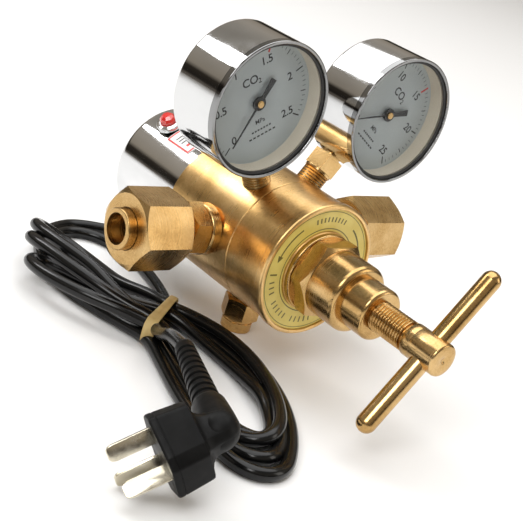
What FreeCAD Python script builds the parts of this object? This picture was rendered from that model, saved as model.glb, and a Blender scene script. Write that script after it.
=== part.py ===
"""Heated carbon dioxide regulator: brass regulator with two gauges, a chromed
electric heater can, an inlet nut, an outlet union, a relief valve and a mains lead.

Millimetres. The main axis runs along Y: the adjusting screw points to -Y and the
heater can to +Y. +X is the inlet side, +Z is up, towards the gauges. Shapes are made
with the main axis through (0, 0, 0) and the side ports at y = 0, and are then moved
so that the origin is the centre of the inlet's sealing face.
"""
import FreeCAD, Part
import math
import os

os.makedirs("parts", exist_ok=True)

V = FreeCAD.Vector
FRONT = V(0, -1, 0)
BACK = V(0, 1, 0)
RIGHT = V(1, 0, 0)
LEFT = V(-1, 0, 0)
DOWN = V(0, 0, -1)
GAP = 0.05                # running clearance between turned parts
WALL = 1.0                # sheet-metal wall

# Distances along the main axis from the side ports
BODY_R = 31.5
SEAM = 18.0               # front cap seam, forwards
SPIGOT_END = 22.0         # end of the body's spigot, under the diaphragm
BODY_BACK = 30.0          # body to heater can, backwards
CAP_R = 32.3
CAP_FRONT = 44.6
LABEL_AT = 43.0           # floor of the label's recess
LABEL_OUT = 30.0
LABEL_IN = 19.4
BONNET_AF = 33.3
BONNET_R = 16.0
BONNET_TIP_R = 12.0
BONNET_END = 87.0
SCREW_R = 7.0             # M14 x 1.5
HEAD_R = 7.5
HEAD_BACK = 106.0
HEAD_FRONT = 124.6
BAR_R = 4.4
BAR_HALF = 43.3
BAR_TURN = 54.0           # degrees from horizontal at rest
BAR_AT = 116.4

# Heater
CAN_R = 31.0
CAN_END = 77.5
LAMP_TURN = -34.0         # degrees from the top, towards the outlet
LAMP_AT = 61.0

# Side fittings, as distances from the main axis
INLET_FACE = 74.0         # sealing face, the part's origin
INLET_NUT_AF = 30.0
OUTLET_NUT_AF = 32.0
THREAD_G58_MINOR_R = 10.3
OUTLET_END = 80.7
OUTLET_BORE_R = 7.0

# Relief valve, below the main axis
RELIEF_AT = 6.0           # forwards of the ports
RELIEF_END = 50.0
FLOOR = -50.0

# Gauges
GAUGE_REACH = 78.5        # main axis to dial centre
GAUGE_TURN = 31.0         # degrees from the top
GAUGE_R = 30.5
GAUGE_FRONT = 28.5
WINDOW_R = 29.4
ZERO_TURN = -140.0        # needle at rest, degrees from the dial's right-hand side
GAUGE_BACK = 0.5
STEM_AT = 7.0             # forwards of the ports
STEM_AF = 10.6
PINION_PITCH_R = 2.0
SECTOR_PITCH_R = 15.0
TOOTH_PITCH = 2 * math.pi * PINION_PITCH_R / 10

# Mains lead
CORD_R = 3.0
BAND = 1.0                # thickness of the rubber band


def save(node, shape):
    """Moves a shape into the part's own frame and writes it."""
    moved = shape.copy()
    moved.translate(V(-INLET_FACE, 0, 0))
    moved.exportStep("parts/" + node + ".step")


def rounded_edges(points, radii, closed):
    """Straight edges through the points, with a tangent arc of the given radius at each corner."""
    count = len(points)
    corners = range(count) if closed else range(1, count - 1)
    entry = {}
    leave = {}
    arcs = {}
    for i in corners:
        here = points[i]
        if radii[i] <= 0:
            entry[i] = here
            leave[i] = here
            continue
        to_last = (points[i - 1] - here).normalize()
        to_next = (points[(i + 1) % count] - here).normalize()
        half = to_last.getAngle(to_next) / 2
        middle = (to_last + to_next).normalize()
        entry[i] = here + to_last * (radii[i] / math.tan(half))
        leave[i] = here + to_next * (radii[i] / math.tan(half))
        near = here + middle * (radii[i] / math.sin(half) - radii[i])
        arcs[i] = Part.Arc(entry[i], near, leave[i]).toShape()
    edges = []
    for i in range(count if closed else count - 1):
        j = (i + 1) % count
        start = leave.get(i, points[i])
        end = entry.get(j, points[j])
        if (end - start).Length > 1e-6:
            edges.append(Part.LineSegment(start, end).toShape())
        if j in arcs:
            edges.append(arcs[j])
    return edges


def turned(*outline):
    """A solid of revolution about local Z. Each corner is (radius, station) or (radius, station, rounding)."""
    points = [V(c[0], 0, c[1]) for c in outline]
    radii = [c[2] if len(c) > 2 else 0 for c in outline]
    wire = Part.Wire(rounded_edges(points, radii, True))
    return Part.Face(wire).revolve(V(0, 0, 0), V(0, 0, 1), 360)


def rod(radius, start, end):
    return Part.makeCylinder(radius, end - start, V(0, 0, start))


def tube(outer, inner, start, end):
    return rod(outer, start, end).cut(rod(inner, start, end))


def prism(points, start, end):
    """A flat outline in local XY, drawn out along local Z."""
    wire = Part.makePolygon([V(x, y, start) for x, y in points + points[:1]])
    return Part.Face(wire).extrude(V(0, 0, end - start))


def hexagon(flats, start, end, turn=0.0, chamfered=True):
    """A hexagon bar with both ends chamfered. At turn 0 a corner lies along local X."""
    corner = flats / 2 / math.cos(math.radians(30))
    angles = [math.radians(turn + 60 * i) for i in range(6)]
    bar = prism([(corner * math.cos(a), corner * math.sin(a)) for a in angles], start, end)
    if not chamfered:
        return bar
    face_r = flats / 2 * 0.97
    drop = (corner - face_r) * math.tan(math.radians(30))
    barrel = turned((0, start), (face_r, start), (corner + 0.1, start + drop),
                    (corner + 0.1, end - drop), (face_r, end), (0, end))
    return bar.common(barrel)


def aim(shape, direction, origin=V(0, 0, 0), spin=0.0):
    """Turns local Z to a direction, after a spin about local Z."""
    placed = shape.copy()
    spun = FreeCAD.Rotation(V(0, 0, 1), spin)
    turn = FreeCAD.Rotation(V(0, 0, 1), direction)
    place = FreeCAD.Placement(origin, turn.multiply(spun))
    placed.Placement = place.multiply(placed.Placement)
    return placed


def forward(shape, spin=0.0):
    return aim(shape, FRONT, spin=spin)


def backward(shape, spin=0.0):
    return aim(shape, BACK, spin=spin)


def ball_bar(radius, half):
    """A bar along local Z with domed ends."""
    straight = half - radius
    bar = rod(radius, -straight, straight)
    for end in (-straight, straight):
        bar = bar.fuse(Part.makeSphere(radius, V(0, 0, end)))
    return bar.removeSplitter()


def coil(radius, wire_r, start, end, turns):
    """A compression spring about local Z, wire centre from start to end."""
    line = Part.makeLongHelix((end - start) / turns, end - start, radius)
    profile = Part.Wire([Part.makeCircle(wire_r, V(radius, 0, 0), V(0, 1, 0))])
    spring = Part.Wire(line.Edges).makePipeShell([profile], True, True)
    spring.translate(V(0, 0, start))
    return spring


# ---------------------------------------------------------------- regulator

def angled_hole(radius, start, end):
    return Part.makeCylinder(radius, (end - start).Length, start, end - start)


def gauge_direction(side):
    turn = math.radians(GAUGE_TURN * side)
    return V(math.sin(turn), 0, math.cos(turn))


def make_body():
    """Brass forging with its chambers, ports and drilled passages."""
    solid = forward(turned((0, -BODY_BACK), (BODY_R, -BODY_BACK), (BODY_R, SEAM, 0.5),
                           (28, SEAM), (28, SPIGOT_END), (0, SPIGOT_END)))
    low_chamber = forward(turned((0, 10.5), (18, 10.5), (18, 20), (24, 20), (24, 23), (0, 23)))
    high_chamber = forward(rod(8, -14, 4.1))
    plug_seat = forward(rod(11, -31, -14))
    seat_bore = forward(rod(9, 4, 11))
    inlet = aim(rod(8, 23.9, 33), RIGHT)
    inlet_hole = aim(rod(3, 6, 25), RIGHT)
    outlet = aim(rod(9, 23.9, 33), LEFT)
    outlet_hole = aim(rod(4, 17, 25), LEFT)
    outlet_cross = angled_hole(2.5, V(-17, 1, 0), V(-15, -12, 0))
    relief = aim(rod(5, 24, 33), DOWN, V(0, -RELIEF_AT, 0))
    relief_hole = angled_hole(1.5, V(0, -RELIEF_AT, -25), V(0, -12, -15))
    solid = solid.cut(low_chamber).cut(high_chamber).cut(plug_seat).cut(seat_bore)
    solid = solid.cut(inlet).cut(inlet_hole).cut(outlet).cut(outlet_hole)
    solid = solid.cut(outlet_cross).cut(relief).cut(relief_hole)
    for side in (-1, 1):
        port = aim(rod(6.5, 23.9, 33), gauge_direction(side), V(0, -STEM_AT, 0))
        solid = solid.cut(port)
    low_tap = angled_hole(1.5, gauge_direction(-1) * 25 + V(0, -STEM_AT, 0), V(-6, -13, 12))
    high_tap = angled_hole(1.5, gauge_direction(1) * 25 + V(0, -STEM_AT, 0), V(2, 3, 5))
    save("body", solid.cut(low_tap).cut(high_tap))


def make_front_cap():
    """Front cap with its rounded rim and the recess for the label ring."""
    inner = 28 + GAP
    cap = forward(turned((inner, SEAM), (BODY_R, SEAM, 0.5), (BODY_R, 39.5), (CAP_R, 40.5),
                         (CAP_R, CAP_FRONT, 1.4), (LABEL_OUT + 0.1, CAP_FRONT, 0.4),
                         (LABEL_OUT + 0.1, LABEL_AT), (LABEL_IN - 0.1, LABEL_AT),
                         (LABEL_IN - 0.1, CAP_FRONT, 0.5), (18, CAP_FRONT), (18, 36),
                         (24, 33), (24, 22.9), (inner, 22.9)))
    save("front_cap", cap)
    save("label_ring", forward(tube(LABEL_OUT, LABEL_IN, LABEL_AT, LABEL_AT + 0.5)))


def make_bonnet():
    """Spring housing: hexagon, two stepped barrels and the tapped nose."""
    shell = turned((0, 36), (18 - GAP, 36), (18 - GAP, CAP_FRONT), (18.9, CAP_FRONT),
                   (18.9, 47.0, 0.8), (BONNET_R, 47.0), (BONNET_R, 73, 2.6),
                   (BONNET_TIP_R, 73), (BONNET_TIP_R, BONNET_END, 1.8), (0, BONNET_END))
    shell = shell.fuse(hexagon(BONNET_AF, 46.5, 56))
    shell = shell.cut(rod(13.5, 35, 70.5)).cut(rod(SCREW_R + GAP, 70, 88))
    save("bonnet", forward(shell.removeSplitter()))


def make_diaphragm_parts():
    save("diaphragm", forward(rod(27.5, 22.05, 22.85)))
    save("diaphragm_plate", forward(turned((0, 22.95), (20, 22.95), (20, 24.4), (8, 25.4),
                                           (8, 27), (0, 27))))


def make_spring_parts():
    spring = coil(11.2, 1.4, 26.9, 64.5, 6)
    save("regulating_spring", forward(spring))
    save("spring_button", forward(turned((0, 66), (12.8, 66), (12.8, 68), (6, 70), (0, 70))))


def make_adjusting_screw():
    """M14 screw with its head in one piece, and the bar through the head."""
    screw = turned((0, 70.1), (3.5, 70.1), (SCREW_R, 73, 0.4), (SCREW_R, HEAD_BACK),
                   (HEAD_R, HEAD_BACK, 0.3), (HEAD_R, HEAD_FRONT, 0.5), (0, HEAD_FRONT))
    screw = forward(screw)
    turn = math.radians(BAR_TURN)
    along = V(math.cos(turn), 0, math.sin(turn))
    hole = aim(rod(BAR_R, -HEAD_R - 1, HEAD_R + 1), along, V(0, -BAR_AT, 0))
    save("adjusting_screw", screw.cut(hole))
    save("handle_bar", aim(ball_bar(BAR_R, BAR_HALF), along, V(0, -BAR_AT, 0)))


def make_valve():
    """Seat, poppet with its pin, and the closing spring."""
    seat = turned((2.0, 4.1), (9 - GAP, 4.1), (9 - GAP, 10.5), (2.0, 10.5))
    save("valve_seat", forward(seat))
    save("valve_poppet", forward(turned((0, -2), (5.5, -2), (5.5, 2.6), (2.6, 3.9),
                                        (1.2, 3.9), (1.2, 22.0), (0, 22.0))))
    save("valve_spring", forward(coil(4.6, 0.6, -11.3, -2.7, 5)))


# ------------------------------------------------------------------- heater

def can_direction(turn):
    angle = math.radians(turn)
    return V(math.sin(angle), 0, math.cos(angle))


def make_heater():
    """Chromed can over the heater block, which also closes the valve chamber."""
    end_wall = CAN_END - WALL
    can = turned((CAN_R - WALL, BODY_BACK + GAP), (CAN_R, BODY_BACK + GAP), (CAN_R, CAN_END, 4.0),
                 (0, CAN_END), (0, end_wall), (CAN_R - WALL, end_wall, 3.0))
    can = backward(can)
    lamp_way = aim(rod(3.7, 25, 35), can_direction(LAMP_TURN), V(0, LAMP_AT, 0))
    can = can.cut(lamp_way).cut(gland_place(rod(5.6, -3, 3)))
    for x in (-14, 14):
        can = can.cut(Part.makeCylinder(1.6, 8, V(x, CAN_END - 4, 12), BACK))
    save("heater_can", can)
    block = backward(turned((0, 12), (7.5, 12), (7.5, 14.05), (11 - GAP, 14.05),
                            (11 - GAP, BODY_BACK + GAP), (16, BODY_BACK + GAP), (16, 64), (0, 64)))
    for x in (-14, 14):
        post = Part.makeCylinder(2.6, end_wall - GAP - 63, V(x, 63, 12), BACK)
        block = block.fuse(post).cut(Part.makeCylinder(1.3, 12, V(x, end_wall - 10, 12), BACK))
    save("heater_block", block)
    save("heater_winding", backward(tube(20, 16 + GAP, 34, 60)))
    save("thermostat", backward(rod(7, 64.1, 69)))
    screws = []
    for x in (-14, 14):
        screw = turned((0, -7), (1.3, -7), (1.3, 0), (2.9, 0), (2.9, 1.6, 0.6), (0, 1.6))
        screws.append(aim(screw, BACK, V(x, CAN_END + 0.02, 12)))
    save("can_screws", Part.makeCompound(screws))


def make_lamp():
    """Indicator lamp through the top of the can: its holder with a chromed flange, and its lens."""
    out = can_direction(LAMP_TURN)
    seat = V(0, LAMP_AT, 0)
    save("lamp_holder", aim(turned((2.4, 21), (3.6, 21), (3.6, 31.6), (6.2, 31.6), (6.2, 33.6, 0.8),
                                   (4.3, 34.2, 0.2), (4.3, 33.0), (2.4, 33.0)), out, seat))
    save("lamp_lens", aim(turned((0, 30), (2.3, 30), (2.3, 33.05), (4.2, 33.05),
                                 (4.2, 35.5), (2.6, 38.2, 0.8), (0, 38.2)), out, seat))


def make_label_plate():
    """Thin rectangular label on the can beside the lamp."""
    shell = backward(tube(CAN_R + 0.35, CAN_R + 0.02, 36, 54))
    wedge = [V(0, 36, 0)]
    for turn in (-47, -18):
        wedge.append(can_direction(turn) * 60 + V(0, 36, 0))
    face = Part.Face(Part.makePolygon(wedge + wedge[:1]))
    save("can_label", shell.common(face.extrude(V(0, 18, 0))))


# ----------------------------------------------------------------- fittings

def make_outlet():
    """Screwed fitting, loose tailpiece and the union nut that holds it."""
    fitting = turned((4, 24), (9 - GAP, 24), (9 - GAP, 31.6), (12, 31.6), (12, 36.5, 1.2),
                     (10, 36.5), (10, 46), (11, 47), (11, 61), (10, 62), (4, 62))
    fitting = aim(fitting.fuse(hexagon(23, 37, 46.5).cut(rod(4, 36, 47))), LEFT)
    save("outlet_fitting", fitting.removeSplitter())
    tail = turned((4, 62.1), (8, 62.1), (10.6, 64), (10.6, 67), (9.2, 68.2), (9.2, OUTLET_END, 0.6),
                  (OUTLET_BORE_R, OUTLET_END), (OUTLET_BORE_R, 69.5), (4, 67))
    save("outlet_tailpiece", aim(tail, LEFT))
    nut = hexagon(OUTLET_NUT_AF, 50.5, 76, turn=26)
    nut = nut.cut(turned((0, 49), (11.9, 49), (11.1, 51), (11.1, 66.9), (9.5, 68.5),
                         (9.5, 77), (0, 77)))
    save("outlet_nut", aim(nut, LEFT))


def make_inlet():
    """Nipple with its flange, sealing washer, filter and the free-turning cylinder nut."""
    nipple = turned((3, 24), (8 - GAP, 24), (8 - GAP, 31.6), (10.5, 31.6), (10.5, 41.5),
                    (7.6, 41.5), (7.6, 67.6), (9.7, 69.0), (9.7, 72.3), (6.5, 72.3),
                    (6.5, 72.0), (3, 72.0))
    nipple = nipple.fuse(hexagon(22, 32.5, 41.5).cut(rod(3, 30, 43)))
    save("inlet_nipple", aim(nipple.removeSplitter(), RIGHT))
    save("inlet_washer", aim(tube(9.6, 3.2, 72.35, INLET_FACE), RIGHT))
    save("inlet_filter", aim(turned((0, 60), (2.95, 60), (2.95, 71.5), (0, 71.5)), RIGHT))
    nut = hexagon(INLET_NUT_AF, 57, 87, turn=-3)
    nut = nut.cut(turned((0, 56), (7.7, 56), (7.7, 66.9), (10.9, 69.9), (10.9, INLET_FACE),
                         (THREAD_G58_MINOR_R, INLET_FACE), (THREAD_G58_MINOR_R, 86),
                         (THREAD_G58_MINOR_R + 1.2, 87), (THREAD_G58_MINOR_R + 1.2, 88), (0, 88)))
    save("inlet_nut", aim(nut, RIGHT))


def make_relief():
    """Relief valve under the body."""
    seat = V(0, -RELIEF_AT, 0)
    shell = turned((1.6, 24), (5 - GAP, 24), (5 - GAP, 31.6), (7, 31.6), (7, 45),
                   (5.2, 45), (5.2, 35.6), (1.6, 35.6))
    shell = shell.fuse(hexagon(16.5, 33.5, 43.5).cut(rod(5.2, 30, 46)))
    save("relief_body", aim(shell.removeSplitter(), DOWN, seat))
    save("relief_poppet", aim(turned((0, 35.65), (4.9, 35.65), (4.9, 37.2), (1.5, 38), (1.5, 41),
                                     (0, 41)), DOWN, seat))
    save("relief_spring", aim(coil(3.4, 0.5, 38.4, 45.0, 4), DOWN, seat))
    save("relief_cap", aim(turned((2, 45.6), (5.15, 45.6), (5.15, 45.02), (7.4, 45.02),
                                  (7.4, RELIEF_END, 1.0), (2, RELIEF_END)), DOWN, seat))


# ------------------------------------------------------------------- gauges

def gauge_place(shape, side):
    """Turns an upright gauge, made on the Z axis, to its side of the main axis."""
    placed = shape.copy()
    placed.rotate(V(0, 0, 0), V(0, 1, 0), GAUGE_TURN * side)
    return placed


def at_dial(shape, x=0.0, z=0.0):
    """Puts a shape made along local Z on the dial's axis, stations counting forwards."""
    return aim(shape, FRONT, V(x, 0, GAUGE_REACH + z))


def toothed(pitch_r, first, count, root_r, hub_r):
    """A toothed outline as (x, y) points. Teeth stand on root_r from angle first, in radians."""
    points = []
    pitch = TOOTH_PITCH / pitch_r
    half = TOOTH_PITCH * 0.2
    for i in range(count):
        middle = first + i * pitch
        for radius, width in ((root_r, -1.4), (pitch_r + 0.3, -0.6), (pitch_r + 0.3, 0.6), (root_r, 1.4)):
            angle = middle + width * half / radius
            points.append((radius * math.cos(angle), radius * math.sin(angle)))
    if hub_r:
        last = first + (count - 1) * pitch + pitch * 0.5
        start = first - pitch * 0.5
        points.append((root_r * math.cos(last), root_r * math.sin(last)))
        points.append((hub_r * math.cos(last), hub_r * math.sin(last)))
        points.append((hub_r * math.cos(start), hub_r * math.sin(start)))
        points.append((root_r * math.cos(start), root_r * math.sin(start)))
    return points


SECTOR_Z = -(PINION_PITCH_R + SECTOR_PITCH_R)
TAIL = (8.0, SECTOR_Z - 2.0)
TIP = (17.0, -10.0)


def gauge_case():
    case = turned((0, -GAUGE_BACK), (GAUGE_R, -GAUGE_BACK, 1.5), (GAUGE_R, 25.4),
                  (GAUGE_R - WALL, 25.4), (GAUGE_R - WALL, 1 - GAUGE_BACK), (0, 1 - GAUGE_BACK))
    case = at_dial(case)
    return case.cut(aim(rod(5.3, 40, 60), V(0, 0, 1), V(0, -STEM_AT, 0)))


def gauge_movement_frame():
    """Two plates joined by pillars, standing on the block inside the case."""
    outline = [(-5.5, -22.95), (5.5, -22.95), (5.5, 6), (-5.5, 6)]
    frame = at_dial(prism(outline, 15.8, 16.6))
    frame = frame.fuse(at_dial(prism(outline, 10.4, 11.2)))
    for x, z in ((-4.3, 4.6), (4.3, 4.6), (-4.3, -21.6), (4.3, -21.6)):
        frame = frame.fuse(at_dial(rod(0.9, 10.8, 16.2), x, z))
    for z in (0, SECTOR_Z):
        frame = frame.cut(at_dial(rod(0.8, 10, 17), 0, z))
    return frame


def gauge_pointer():
    """Black needle with its broad tail, in the zero position."""
    needle = prism([(1.4, 0.5), (22, 0.16), (22, -0.16), (1.4, -0.5)], 19.6, 20.0)
    tail = prism([(-1.4, -1.0), (-12, -1.5), (-12, 1.5), (-1.4, 1.0)], 19.6, 20.0)
    flat = tube(3.1, 0.75, 19.2, 20.2).fuse(needle).fuse(tail)
    return at_dial(aim(flat.removeSplitter(), V(0, 0, 1), spin=ZERO_TURN))


def gauge_pinion():
    shaft = turned((0, 10.3), (0.75, 10.3), (0.75, 20.25), (1.7, 20.25), (1.7, 21.2, 0.5), (0, 21.2))
    teeth = prism(toothed(PINION_PITCH_R, math.pi / 2 + math.pi / 10, 10, 1.45, 0), 12.9, 15.1)
    return at_dial(shaft.fuse(teeth))


def gauge_sector():
    """Toothed sector on its shaft, with the tail that the link pulls."""
    first = math.pi / 2 - 9 * TOOTH_PITCH / SECTOR_PITCH_R
    outline = toothed(SECTOR_PITCH_R, first, 11, 14.3, 2.2)
    sector = prism(outline, 13.4, 14.6).fuse(rod(2.4, 13.4, 14.6)).fuse(rod(0.75, 10.3, 16.7))
    tail = prism([(0, -1.5), (TAIL[0], -3.2), (TAIL[0] + 1.1, -2), (TAIL[0], -0.8), (0, 1.5)], 13.4, 14.6)
    sector = sector.fuse(tail).fuse(aim(rod(0.6, 12.0, 14.0), V(0, 0, 1), V(TAIL[0], -2.0, 0)))
    return at_dial(sector.removeSplitter(), 0, SECTOR_Z)


def gauge_link():
    run = math.hypot(TIP[0] - TAIL[0], TIP[1] - TAIL[1])
    bar = prism([(0, -0.7), (run, -0.7), (run, 0.7), (0, 0.7)], 12.3, 12.8)
    bar = bar.fuse(rod(1.3, 12.3, 12.8)).fuse(aim(rod(1.3, 12.3, 12.8), V(0, 0, 1), V(run, 0, 0)))
    bar = bar.cut(rod(0.68, 12, 13)).cut(aim(rod(0.68, 12, 13), V(0, 0, 1), V(run, 0, 0)))
    lean = math.degrees(math.atan2(TIP[1] - TAIL[1], TIP[0] - TAIL[0]))
    return at_dial(aim(bar, V(0, 0, 1), spin=lean), TAIL[0], TAIL[1])


def gauge_tube():
    """C-shaped Bourdon tube from the socket over the top to the tip that pulls the link."""
    arc = Part.makeCylinder(21.5, 4, V(0, 0, 5), V(0, 0, 1), 290)
    arc = arc.cut(rod(18.5, 4, 10))
    arc = aim(arc, V(0, 0, 1), spin=-32)
    lug = Part.makeBox(3.4, 3.4, 4.6, V(TIP[0] - 1.7, TIP[1] - 1.7, 6.6))
    pin = aim(rod(0.6, 11, 13.4), V(0, 0, 1), V(TIP[0], TIP[1], 0))
    return at_dial(arc.fuse(lug).fuse(pin).removeSplitter())


def gauge_socket():
    """Stem: long thread in the body, collar, square and the block inside the case."""
    stem = turned((1.5, 24), (6.5 - GAP, 24), (6.5 - GAP, 38), (6.9, 38), (6.9, 39.2, 0.3),
                  (5.2, 39.2), (5.2, 51), (1.5, 51))
    square = Part.makeBox(STEM_AF, STEM_AF, 8.5, V(-STEM_AF / 2, -STEM_AF / 2, 39.1))
    stem = stem.fuse(square.cut(rod(1.5, 30, 60)))
    block = Part.makeBox(12, 9, 5.3, V(-6, -5, 50.2)).cut(rod(1.5, 49, 54))
    post = Part.makeBox(7.2, 4, 5, V(-3.6, -1, 55))
    return aim(stem.fuse(block).fuse(post).removeSplitter(), V(0, 0, 1), V(0, -STEM_AT, 0))


def make_gauge(name, side):
    """All pieces of one gauge, dial up, then turned to its side."""
    pieces = {
        "case": gauge_case(),
        "bezel": at_dial(turned((WINDOW_R - 0.4, 26.8), (WINDOW_R + GAP, 26.8), (WINDOW_R + GAP, 25.5),
                                (GAUGE_R, 25.5), (GAUGE_R, GAUGE_FRONT, 0.5),
                                (WINDOW_R - 0.4, GAUGE_FRONT, 0.4))),
        "window": at_dial(rod(WINDOW_R, 25.5, 26.7)),
        "dial": at_dial(rod(WINDOW_R, 17.2, 25.4).cut(rod(28.0, 18.0, 26)).cut(rod(1.3, 17, 19))),
        "pointer": gauge_pointer(),
        "pinion": gauge_pinion(),
        "sector": gauge_sector(),
        "link": gauge_link(),
        "bourdon_tube": gauge_tube(),
        "movement_frame": gauge_movement_frame(),
        "stem": gauge_socket(),
    }
    for piece, shape in pieces.items():
        save(name + "_" + piece, gauge_place(shape, side))


# --------------------------------------------------------------- mains lead

def gland_place(shape):
    """The lead leaves the back of the can, low and a little to the inlet side."""
    return aim(shape, BACK, V(10, CAN_END, -15))


LEAD_ROUTE = [V(10, 99.5, -15), V(12, 119, -16), V(28, 134, -24), V(50, 131, -36), V(64, 110, -44),
              V(55, 87, -47), V(31, 79, -47), V(7, 86, -47), V(-11, 97, -47), V(-27, 103.5, -47)]
RELIEF_TIP = V(-79, -60.5, -24)
TAIL_ROUTE = [RELIEF_TIP, V(-71, -43, -28.5), V(-64.5, -30.5, -36), V(-58.5, -20, -41)]
WAIST = V(-47, -6, 0)     # where the band holds the hank
WAIST_TURN = 37.0         # degrees from +X to the band's line
WAIST_HALF = 18.3
WAIST_LOW = FLOOR + 1.4
WAIST_HIGH = -37.5


def cord_tube(route, name):
    """A round cord along straight runs joined by tangent arcs as large as the runs allow."""
    runs = [(b - a).Length for a, b in zip(route, route[1:])]
    radii = [0.0]
    for i in range(1, len(route) - 1):
        turn = (route[i] - route[i - 1]).getAngle(route[i + 1] - route[i])
        radii.append(0.45 * min(runs[i - 1], runs[i]) / math.tan(turn / 2))
    radii.append(0.0)
    path = Part.Wire(rounded_edges(route, radii, False))
    start = route[1] - route[0]
    profile = Part.Wire([Part.makeCircle(CORD_R, route[0], start)])
    shape = path.makePipeShell([profile], True, False)
    expected = math.pi * CORD_R ** 2 * path.Length
    print(name, "length", round(path.Length, 1), "radii", [round(r) for r in radii[1:-1]],
          "volume ratio", round(shape.Volume / expected, 3))
    return shape


def flat_slab(points, low, high, corner):
    corners = [V(x, y, low) for x, y in points]
    wire = Part.Wire(rounded_edges(corners, [corner] * len(corners), True))
    return Part.Face(wire).extrude(V(0, 0, high - low))


def at_waist(shape):
    """Turns a shape made round the Z axis to the band's line."""
    placed = shape.copy()
    placed.rotate(V(0, 0, 0), V(0, 0, 1), WAIST_TURN)
    placed.translate(WAIST)
    return placed


def make_hank():
    """Outer shape of the tied hank: the round rear, the waist, the flat front loop and the plug's tail."""
    rear = flat_slab([(-35.6, 8.8), (-22, 22), (-13, 40), (-12, 76), (-22, 106), (-42, 104), (-60, 91),
                      (-80, 72), (-94, 52), (-94, 30), (-80, 6), (-64.4, -12.8)], FLOOR, -36, 3)
    front = flat_slab([(-29.6, 0.8), (-17, -20), (-14.5, -38), (-16.5, -54), (-24, -75), (-35, -93),
                       (-48, -109), (-62, -121.5), (-77, -122), (-85, -110), (-84.7, -92),
                       (-80.5, -71), (-74.5, -51), (-67.5, -31), (-58.4, -20.8)], FLOOR, -42.5, 3)
    hole = flat_slab([(-42, -30), (-40, -48), (-43, -66), (-49, -80), (-57, -88), (-60, -82),
                      (-56, -66), (-50, -48), (-47, -32)], FLOOR - 1, -42, 2)
    waist = at_waist(Part.makeBox(2 * WAIST_HALF, 14, WAIST_HIGH - WAIST_LOW, V(-WAIST_HALF, -7, WAIST_LOW)))
    hank = rear.fuse(front.cut(hole)).fuse(waist).fuse(cord_tube(TAIL_ROUTE, "tail"))
    save("cord_hank", hank.removeSplitter())


def make_band():
    """Rubber band round the hank's waist."""
    inside = WAIST_HALF + 0.2
    low = WAIST_LOW - 0.2
    high = WAIST_HIGH + 0.2
    outer = Part.makeBox(2 * inside + 2 * BAND, 3, high - low + 2 * BAND, V(-inside - BAND, -1.5, low - BAND))
    inner = Part.makeBox(2 * inside, 5, high - low, V(-inside, -2.5, low))
    save("rubber_band", at_waist(outer.cut(inner)))


def make_cord():
    save("cord_gland", gland_place(turned((CORD_R, -4), (5.5, -4), (5.5, 0.02), (7.5, 0.02),
                                          (7.5, 2.5, 0.6), (5.6, 2.5), (4.0, 22, 0.5),
                                          (CORD_R, 22))))
    save("cord_lead", cord_tube(LEAD_ROUTE, "lead"))
    make_hank()
    make_band()


# Plug: local Z points out of its face along the pins, local Y along the face to the earth
# pin. It stands tilted, on its lower corner and the tip of one pin.
PLUG_FACE = V(-125.6, -114.7, -33.2)
PLUG_OUT = V(-0.841, 0.200, -0.503)
PLUG_UP = V(-0.360, 0.488, 0.794)
PLUG_DEPTH = 15.0
PLUG_HALF = [(4, 15.5), (12, 2), (13, -3), (6, -15)]     # right half of the face's outline
NECK_REACH = 22.5         # face to the middle of the elbow
NECK_R = 8.0
PIN_WIDTH = 6.3
PIN_THICK = 1.6
PIN_OUT = 17.0
PIN_IN = 6.0              # held in the plug


def on_plug(shape):
    turn = FreeCAD.Rotation(PLUG_UP.cross(PLUG_OUT), PLUG_UP, PLUG_OUT, "ZYX")
    placed = shape.copy()
    placed.Placement = FreeCAD.Placement(PLUG_FACE, turn).multiply(placed.Placement)
    return placed


def plug_section(size, station):
    """The plug's rounded outline across local Z, scaled by size."""
    outline = PLUG_HALF + [(-x, y) for x, y in reversed(PLUG_HALF)]
    corners = [V(x * size, y * size, station) for x, y in outline]
    return Part.Wire(rounded_edges(corners, [2.0] * len(corners), True))


def make_plug():
    """Moulded side-entry plug: block, elbow and a tapered strain relief, with three flat pins."""
    block = Part.makeLoft([plug_section(1.0, 0), plug_section(0.93, -PLUG_DEPTH)], True)
    stub = turned((0, -NECK_REACH), (NECK_R, -NECK_REACH), (NECK_R + 1, -PLUG_DEPTH + 1), (0, -PLUG_DEPTH + 1))
    neck = PLUG_FACE - V(PLUG_OUT).normalize() * NECK_REACH
    run = RELIEF_TIP - neck
    sleeve = turned((0, 0), (NECK_R - 0.1, 0), (6.6, 17), (5.5, 19), (4.0, run.Length, 0.5), (0, run.Length))
    body = on_plug(block).fuse(on_plug(stub)).fuse(aim(sleeve, run, neck))
    body = body.fuse(aim(Part.makeSphere(NECK_R), run, neck))
    blades = []
    for x, y, lean in ((0, 8.5, 90), (-7.5, -3.6, 60), (7.5, -3.6, -60)):
        blade = Part.makeBox(PIN_WIDTH, PIN_THICK, PIN_OUT + PIN_IN, V(-PIN_WIDTH / 2, -PIN_THICK / 2, -PIN_IN))
        blades.append(on_plug(aim(blade, V(0, 0, 1), V(x, y, 0), spin=lean)))
    pins = Part.makeCompound(blades)
    save("plug_body", body.removeSplitter().cut(pins))
    save("plug_pins", pins)


make_body()
make_front_cap()
make_bonnet()
make_diaphragm_parts()
make_spring_parts()
make_adjusting_screw()
make_valve()
make_heater()
make_lamp()
make_label_plate()
make_outlet()
make_inlet()
make_relief()
make_gauge("low_gauge", -1)
make_gauge("high_gauge", 1)
make_cord()
make_plug()
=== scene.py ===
import math
import bpy
import bmesh
from mathutils import Matrix, Vector


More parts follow.
